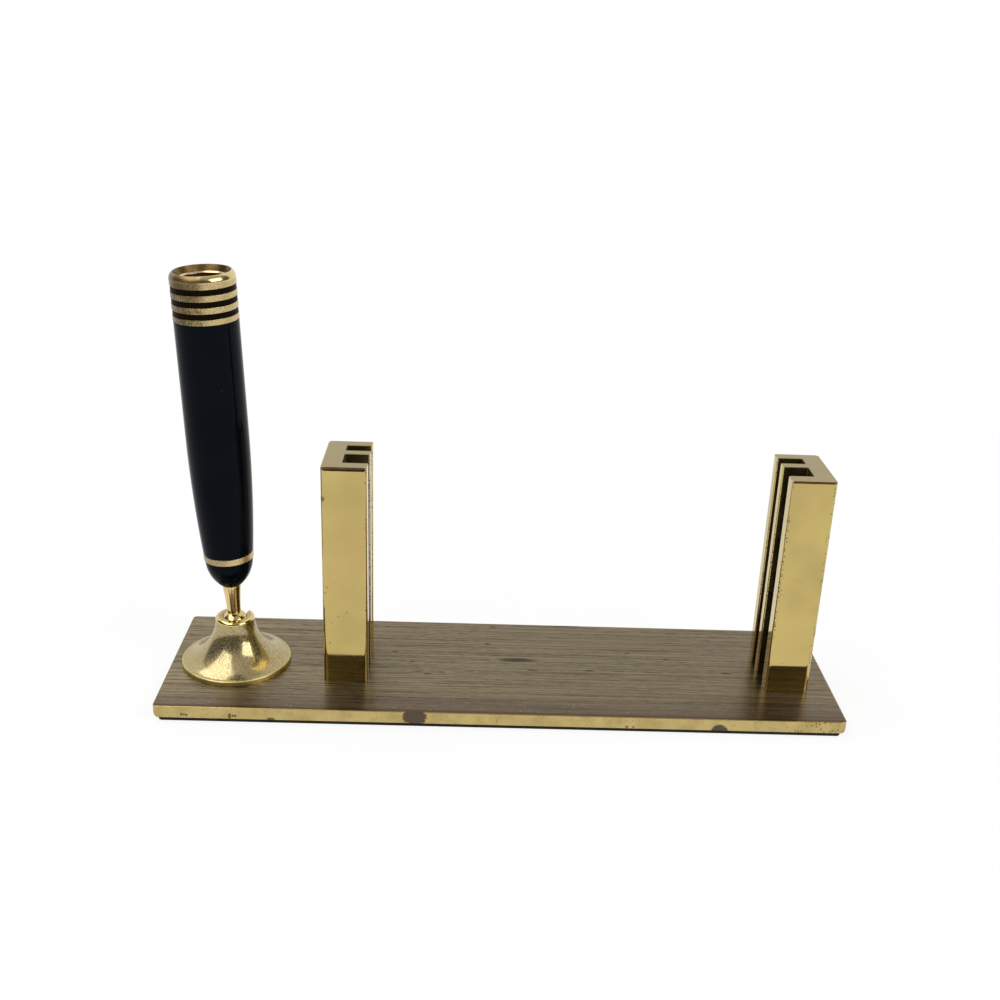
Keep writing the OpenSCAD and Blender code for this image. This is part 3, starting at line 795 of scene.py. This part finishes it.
# Waist ring, mouth collar and groove enamel
# Brass rings, turned and left with the fine scratches of years of handling. The collar has three turned
# grooves filled with black enamel, a rounded lip and a countersunk mouth.
collar_radius = barrel_radius + 0.03 * mm
groove_start, groove_width, groove_pitch, groove_count = 1.1 * mm, 1.1 * mm, 2.28 * mm, 3
groove_depth, groove_edge_round, enamel_drop = 0.3 * mm, 0.07 * mm, 0.08 * mm
mouth_dome, mouth_round, dome_turn, crest_turn = 1.6 * mm, 0.3 * mm, 50, 105
ring_round, mouth_inner_round = 0.1 * mm, 0.06 * mm
lip_margin, funnel_margin = 0.15 * mm, 0.1 * mm
# Heading of the rubbed side, which also carries the painted highlight; the far side carries painted shade.
worn_and_lit_heading = math.radians(60)


def worn_and_lit_wiring(entry):
    """Right front side of the holder, where the pen is drawn out and the brass carries a painted highlight,
    with painted shade away from it:
    a step up in the cosine between the way out from the axis and the way to that side."""
    outward = vectors("NORMALIZE", vectors("MULTIPLY", entry["Vector"], (1, 1, 0)))
    side = (math.sin(worn_and_lit_heading), -math.cos(worn_and_lit_heading), 0)
    return {"Worn and lit": ramp(vectors("DOT_PRODUCT", outward, side), 0.0, 0.85)}


worn_and_lit_side = new_group("Worn and lit side", {"Vector": "Vector"}, ["Worn and lit"], worn_and_lit_wiring)


def handled_brass(point):
    """Warm brass with short scratches aslant round the holder and clouds of tarnish, which deepen away from
    the right front as painted shade; the colour is darkened there too as painted shade, and brightened on the
    right front as a painted highlight."""
    point = holder_points(point)
    worn_and_lit = grouped(worn_and_lit_side, {"Vector": point})["Worn and lit"]
    flat = unrolled(point, math.radians(22))
    streaks = ramp(noise(stretched(flat, 1500.0, 4200.0), 1.0, 3.0, 0.6), 0.34, 0.66)
    cloud = ramp(noise(point, 300.0, 4.0, 0.65), 0.36, 0.66)
    colour = blended(streaks, (0.105, 0.07, 0.03), (0.52, 0.41, 0.2))
    # Tarnish clouds deepen away from the right front as painted shade.
    tarnish_and_shade = times(cloud, ramp(worn_and_lit, 0.0, 1.0, 0.9, 0.4))
    colour = blended(tarnish_and_shade, colour, (0.12, 0.078, 0.045))
    # Painted shade darkens the far side and a painted highlight brightens the right front.
    colour = blended(ramp(worn_and_lit, 0.0, 0.7, 0.5, 0.0), colour, (0.075, 0.052, 0.028))
    colour = blended(ramp(worn_and_lit, 0.65, 1.0, 0.0, 0.45), colour, (0.9, 0.71, 0.34))
    return metal(colour, ramp(streaks, 0.0, 1.0, 0.36, 0.22), bumped(streaks, 0.010 * mm))


def worn_ring(point):
    """The same brass on the waist ring, rubbed brighter."""
    sockets = handled_brass(point)
    sockets["Base Color"] = blended(0.4, sockets["Base Color"], (0.66, 0.52, 0.28))
    return sockets


def black_enamel(point):
    """Brush-filled black enamel, a little uneven and dusty."""
    point = holder_points(point)
    cloud = noise(point, 900.0, 3.0)
    colour = blended(cloud, (0.003, 0.0015, 0.0007), (0.01, 0.005, 0.002))
    return {"Base Color": colour, "Roughness": ramp(cloud, 0.3, 0.7, 0.3, 0.5),
            "Specular IOR Level": 0.025, "Normal": bumped(cloud, 0.02 * mm)}


def mouth_brass(point):
    """Lip smoother on the side where the pen is drawn out and rougher on the other; its colour is a painted
    highlight on the smooth side and painted shade, dull and brown, on the other.
    """
    point = holder_points(point)
    worn_and_lit = grouped(worn_and_lit_side, {"Vector": point})["Worn and lit"]
    cloud = ramp(noise(point, 320.0, 4.0), 0.35, 0.7)
    dull = blended(cloud, (0.3, 0.205, 0.088), (0.185, 0.118, 0.048))
    # The bright colour is a painted highlight and the dull brown painted shade; the roughness follows the
    # rubbing.
    bright = ramp(worn_and_lit, 0.55, 1.0)
    colour = blended(bright, dull, (0.68, 0.535, 0.25))
    return metal(colour, ramp(bright, 0.0, 1.0, 0.38, 0.17), bumped(cloud, 0.006 * mm))


def funnel_brass(point):
    """Countersink inside the lip, left from the tool and gone a dull brown."""
    point = holder_points(point)
    cloud = ramp(noise(point, 500.0, 4.0), 0.35, 0.7)
    colour = blended(cloud, (0.195, 0.12, 0.042), (0.125, 0.072, 0.025))
    return metal(colour, ramp(cloud, 0.0, 1.0, 0.32, 0.42), bumped(cloud, 0.008 * mm))


ring_path = section(
    (spigot_hole, nose_top, 0), (waist_radius, nose_top, ring_round),
    (waist_radius, barrel_foot, ring_round), (spigot_hole, barrel_foot, 0))
ring = skin("waist_band", turned(ring_path), [new_finish(worn_ring)], ring=True)
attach(ring, "holder")
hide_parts("waist_ring")

groove_foot = barrel_top + groove_start + groove_pitch * np.arange(groove_count)
groove_floor = collar_radius - groove_depth
groove_corners = [
    ((collar_radius, foot, groove_edge_round), (groove_floor, foot, 0),
     (groove_floor, foot + groove_width, 0), (collar_radius, foot + groove_width, groove_edge_round))
    for foot in groove_foot]
crest_x = (mouth_dome - mouth_round) * math.cos(math.radians(dome_turn))
dome_x = collar_radius - mouth_dome
dome_foot = mouth_top - mouth_round - (mouth_dome - mouth_round) * math.sin(math.radians(dome_turn))
collar_path = section(
    (bore_radius, barrel_top, 0), (collar_radius, barrel_top, fine_round), *groove_corners,
    arc((dome_x, dome_foot), mouth_dome, 0, dome_turn, 12),
    arc((dome_x + crest_x, mouth_top - mouth_round), mouth_round, dome_turn, crest_turn, 8),
    (bore_radius, liner_top, mouth_inner_round))
on_lip = collar_path[:, 1] > dome_foot - lip_margin
in_funnel = (collar_path[:, 1] > liner_top - funnel_margin) & (collar_path[:, 0] < dome_x + crest_x)
collar_finishes = [new_finish(finish) for finish in (handled_brass, mouth_brass, funnel_brass)]
collar_strips = np.where(in_funnel, 2, on_lip)[:, None]
collar = skin("mouth_ring", turned(collar_path), collar_finishes, collar_strips, ring=True)
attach(collar, "holder")
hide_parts("mouth_collar")

enamel_finish = new_finish(black_enamel)
enamel_radius = collar_radius - enamel_drop
for number, foot in enumerate(groove_foot, 1):
    fill_path = section(
        (groove_floor, foot, 0), (enamel_radius, foot, ring_round),
        (enamel_radius, foot + groove_width, ring_round), (groove_floor, foot + groove_width, 0))
    band = skin("groove_fill_%d" % number, turned(fill_path), [enamel_finish], ring=True)
    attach(band, "holder")
    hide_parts("groove_enamel")

# Pen sleeve
# A thin drawn tube inside the barrel that grips the pen. Its upper end shows as a bright ring in the mouth,
# and its inside is painted a dark reddish brown as shade down the bore.
sleeve_outer, sleeve_inner, sleeve_lead = 4.8 * mm, 4.4 * mm, 0.35 * mm
sleeve_outer_round, sleeve_end_round, sleeve_inner_round = 0.03 * mm, 0.05 * mm, 0.1 * mm


def sleeve_brass(point):
    """Drawn tube: bright at its end, painted dark reddish brown as shade further down the bore, where it is
    also duller, with drawing lines along it.
    """
    point = holder_points(point)
    lines = brushed(unrolled(point), 40.0, 2500.0)["Streaks"]
    deep = ramp(coordinate(point, "Z"), liner_top - 1.2 * mm, liner_top - 0.4 * mm, 1.0, 0.0)
    bright = blended(lines, (0.62, 0.46, 0.25), (0.78, 0.6, 0.34))
    # Painted shade: the colour darkens to reddish brown from 0.4 to 1.2 mm below the end.
    colour = blended(deep, bright, (0.16, 0.08, 0.05))
    return metal(colour, ramp(deep, 0.0, 1.0, 0.2, 0.45), bumped(lines, 0.004 * mm))


sleeve_path = section(
    (sleeve_inner, liner_foot, 0), (sleeve_outer, liner_foot, 0),
    (sleeve_outer, liner_top, sleeve_outer_round), (sleeve_inner + sleeve_lead, liner_top, sleeve_end_round),
    (sleeve_inner, liner_top - sleeve_lead, sleeve_inner_round))
sleeve = skin("pen_sleeve", turned(sleeve_path), [new_finish(sleeve_brass)], ring=True)
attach(sleeve, "holder")
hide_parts("pen_liner")

# Hidden fittings
# Screws, washers, nut, plug and cup that hold the stand together out of sight. The steel ones are bought in,
# the plug is turned from brass, and the cup that presses on the ball is moulded.


def plated_steel(point):
    """Zinc-plated steel with a faintly crystalline, scuffed plating."""
    crystals = grouped(grain, {"Vector": point, "Scale": 1200.0, "Fine": 0.5})["Grain"]
    colour = blended(ramp(crystals, 0.5, 1.0), (0.42, 0.42, 0.43), (0.6, 0.6, 0.61))
    return metal(colour, ramp(crystals, 0.5, 1.0, 0.42, 0.28))


def moulded_cup(point):
    """Pale bearing plastic with a fine moulded grain."""
    mould = grouped(grain, {"Vector": point, "Scale": 1800.0, "Fine": 0.6})["Grain"]
    colour = blended(ramp(mould, 0.5, 1.1), (0.7, 0.69, 0.65), (0.78, 0.77, 0.73))
    return {"Base Color": colour, "Roughness": 0.5, "Normal": bumped(mould, 0.01 * mm)}


steel_fittings = ("upright_screws", "bell_screw", "spring_washers", "stud_washer", "stud_nut")
fitting_finishes = dict.fromkeys(steel_fittings, new_finish(plated_steel))
fitting_finishes["bell_plug"] = bell_finishes[1]
fitting_finishes["pressure_cup"] = new_finish(moulded_cup)
for fitting, finish in fitting_finishes.items():
    for slot in frame["nodes"][fitting].material_slots:
        slot.material = finish

# Stage
# A white sweep of floor in a studio that is bright behind the stand and dim in front of it,
# so that the metal has something light and something dark to mirror.
floor_half, floor_white, floor_glow = 4.0, 0.9, 0.85
glow_from, glow_to = 0.1, 0.26
floor_corners = [(x * floor_half, y * floor_half, 0) for x, y in ((-1, -1), (1, -1), (1, 1), (-1, 1))]
floor_mesh = bpy.data.meshes.new("studio_floor")
floor_mesh.from_pydata(floor_corners, [], [(0, 1, 2, 3)])
floor = put("studio_floor", floor_mesh)
floor_finish = bpy.data.materials.new("white floor")
tree = emptied(floor_finish)
path = place(tree, "ShaderNodeLightPath").outputs
seen = sums("MAXIMUM", path["Is Camera Ray"], path["Is Glossy Ray"])
seen = sums("MAXIMUM", seen, path["Is Transmission Ray"])
matt = place(tree, "ShaderNodeBsdfDiffuse", {"Color": (floor_white, floor_white, floor_white, 1)}).outputs[0]
glow = place(tree, "ShaderNodeEmission", {"Color": (1, 1, 1, 1), "Strength": 1.0}).outputs[0]
far = vectors("LENGTH", object_points(tree))
glow_share = times(seen, ramp(far, glow_from, glow_to, floor_glow, 1.0))
mixed = place(tree, "ShaderNodeMixShader", {0: glow_share, 1: matt, 2: glow}).outputs[0]
place(tree, "ShaderNodeOutputMaterial", {"Surface": mixed})
floor_mesh.materials.append(floor_finish)

studio = bpy.data.worlds.new("studio")
bpy.context.scene.world = studio
tree = emptied(studio)
outward = place(tree, "ShaderNodeTexCoord").outputs["Generated"]
way = place(tree, "ShaderNodeSeparateXYZ", {0: outward}).outputs
bearing = sums("ARCTAN2", way["X"], way["Y"])
room = ramp(way["Z"], 0.4, 0.95, 0.09, 0.52)
from_left = ramp(bearing, math.radians(-72), math.radians(-66))
to_right = ramp(bearing, math.radians(55), math.radians(72), 1.0, 0.0)
below_top = ramp(way["Z"], 0.86, 0.93, 1.0, 0.0)
backdrop = times(times(from_left, to_right), below_top)
level = sums("MAXIMUM", room, backdrop)
level = sums("MAXIMUM", level, place(tree, "ShaderNodeLightPath").outputs["Is Camera Ray"])
sky = place(tree, "ShaderNodeBackground", {"Color": (1, 1, 1, 1), "Strength": level}).outputs[0]
place(tree, "ShaderNodeOutputWorld", {"Surface": sky})


def compass(azimuth, elevation):
    """Direction from the stand, with azimuth 0 straight behind it and 90 to its right, in degrees."""
    turn, rise = math.radians(azimuth), math.radians(elevation)
    return Vector((math.sin(turn) * math.cos(rise), math.cos(turn) * math.cos(rise), math.sin(rise)))


lamp_distance = 0.8
lamps = [("left_softbox", -110, 60, 1.05, 0.5, 27, 2.4), ("right_softbox", 122, 34, 0.56, 0.45, 0, 3.6)]
for lamp_name, azimuth, elevation, lamp_width, lamp_height, tip, lamp_glow in lamps:
    light = bpy.data.lights.new(lamp_name, "AREA")
    light.shape = "RECTANGLE"
    light.size, light.size_y = lamp_width, lamp_height
    light.energy = lamp_glow * math.pi * lamp_width * lamp_height
    lamp = put(lamp_name, light)
    lamp.location = compass(azimuth, elevation) * lamp_distance
    facing_stand = lamp.location.to_track_quat("Z", "Y").to_matrix()
    lamp.rotation_euler = (facing_stand @ Matrix.Rotation(math.radians(-tip), 3, "Z")).to_euler()
    lamp.visible_camera = False

# Camera
# A plain pinhole camera, placed as the photograph was taken: a little above the stand, almost square to the
# plate, and tipped slightly.
view_azimuth, view_elevation, view_roll = 1.594, 21.961, math.radians(2.25)
view_distance, view_target = 249.47 * mm, Vector((-1.6, 0, 42.1)) * mm
focal_share = 1.22419
camera_data = bpy.data.cameras.new("camera")
camera_data.sensor_width = 36.0
camera_data.lens = focal_share * camera_data.sensor_width
camera_data.clip_start = 0.01
camera = put("camera", camera_data)
forward = compass(view_azimuth, -view_elevation)
level_right = forward.cross(Vector((0, 0, 1))).normalized()
level_up = level_right.cross(forward)
right = math.cos(view_roll) * level_right + math.sin(view_roll) * level_up
up = right.cross(forward)
camera.matrix_world = Matrix.Translation(view_target - forward * view_distance) @ Matrix(
    (right, up, -forward)).transposed().to_4x4()
bpy.context.scene.camera = camera
bpy.context.scene.view_settings.view_transform = "Standard"
